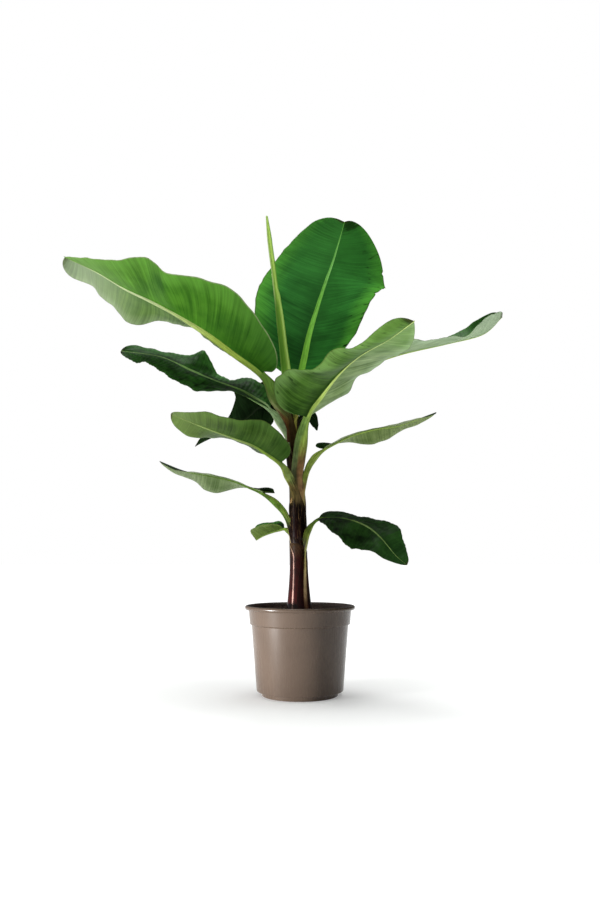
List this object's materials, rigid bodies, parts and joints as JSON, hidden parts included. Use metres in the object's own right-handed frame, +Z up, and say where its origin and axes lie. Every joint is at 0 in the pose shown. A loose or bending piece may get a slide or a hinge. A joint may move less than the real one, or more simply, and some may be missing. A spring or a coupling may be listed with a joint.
{
  "type": "potted banana plant",
  "caption": "Young banana plant with a sheathed false stem, broad arching leaves and a rolled new leaf, growing in a tapered plastic nursery pot.",
  "frame": {"origin": "centre of the pot's flat underside, where it stands on the floor", "axes": "+Z up along the pot's axis, -Y towards the side from which the plant is seen in the picture, +X to the right of that view"},
  "size_m": [1.1012, 0.6857, 1.243],
  "materials": {
    "pot": "glossy moulded plastic",
    "compost": "rough and crumbly",
    "stem": "smooth, slightly glossy sheaths",
    "young_leaf": "satin",
    "stalk": "satin",
    "leaf": "satin, waxy"
  },
  "bodies": {
    "root": {"pot": "pot", "soil": "compost", "pseudostem": "stem", "spear_leaf": "young_leaf", "upper_left_leaf_stalk": "stalk", "upper_left_leaf_blade": "leaf", "back_leaf_stalk": "stalk", "back_leaf_blade": "leaf", "far_right_leaf_stalk": "stalk", "far_right_leaf_blade": "leaf", "front_leaf_stalk": "stalk", "front_leaf_blade": "leaf", "dark_left_leaf_stalk": "stalk", "dark_left_leaf_blade": "leaf", "behind_left_leaf_stalk": "stalk", "behind_left_leaf_blade": "leaf", "behind_right_leaf_stalk": "stalk", "behind_right_leaf_blade": "leaf", "mid_left_leaf_stalk": "stalk", "mid_left_leaf_blade": "leaf", "mid_right_leaf_stalk": "stalk", "mid_right_leaf_blade": "leaf", "low_left_leaf_stalk": "stalk", "low_left_leaf_blade": "leaf", "low_right_leaf_stalk": "stalk", "low_right_leaf_blade": "leaf", "lowest_leaf_stalk": "stalk", "lowest_leaf_blade": "leaf"}
  },
  "joints": []
}
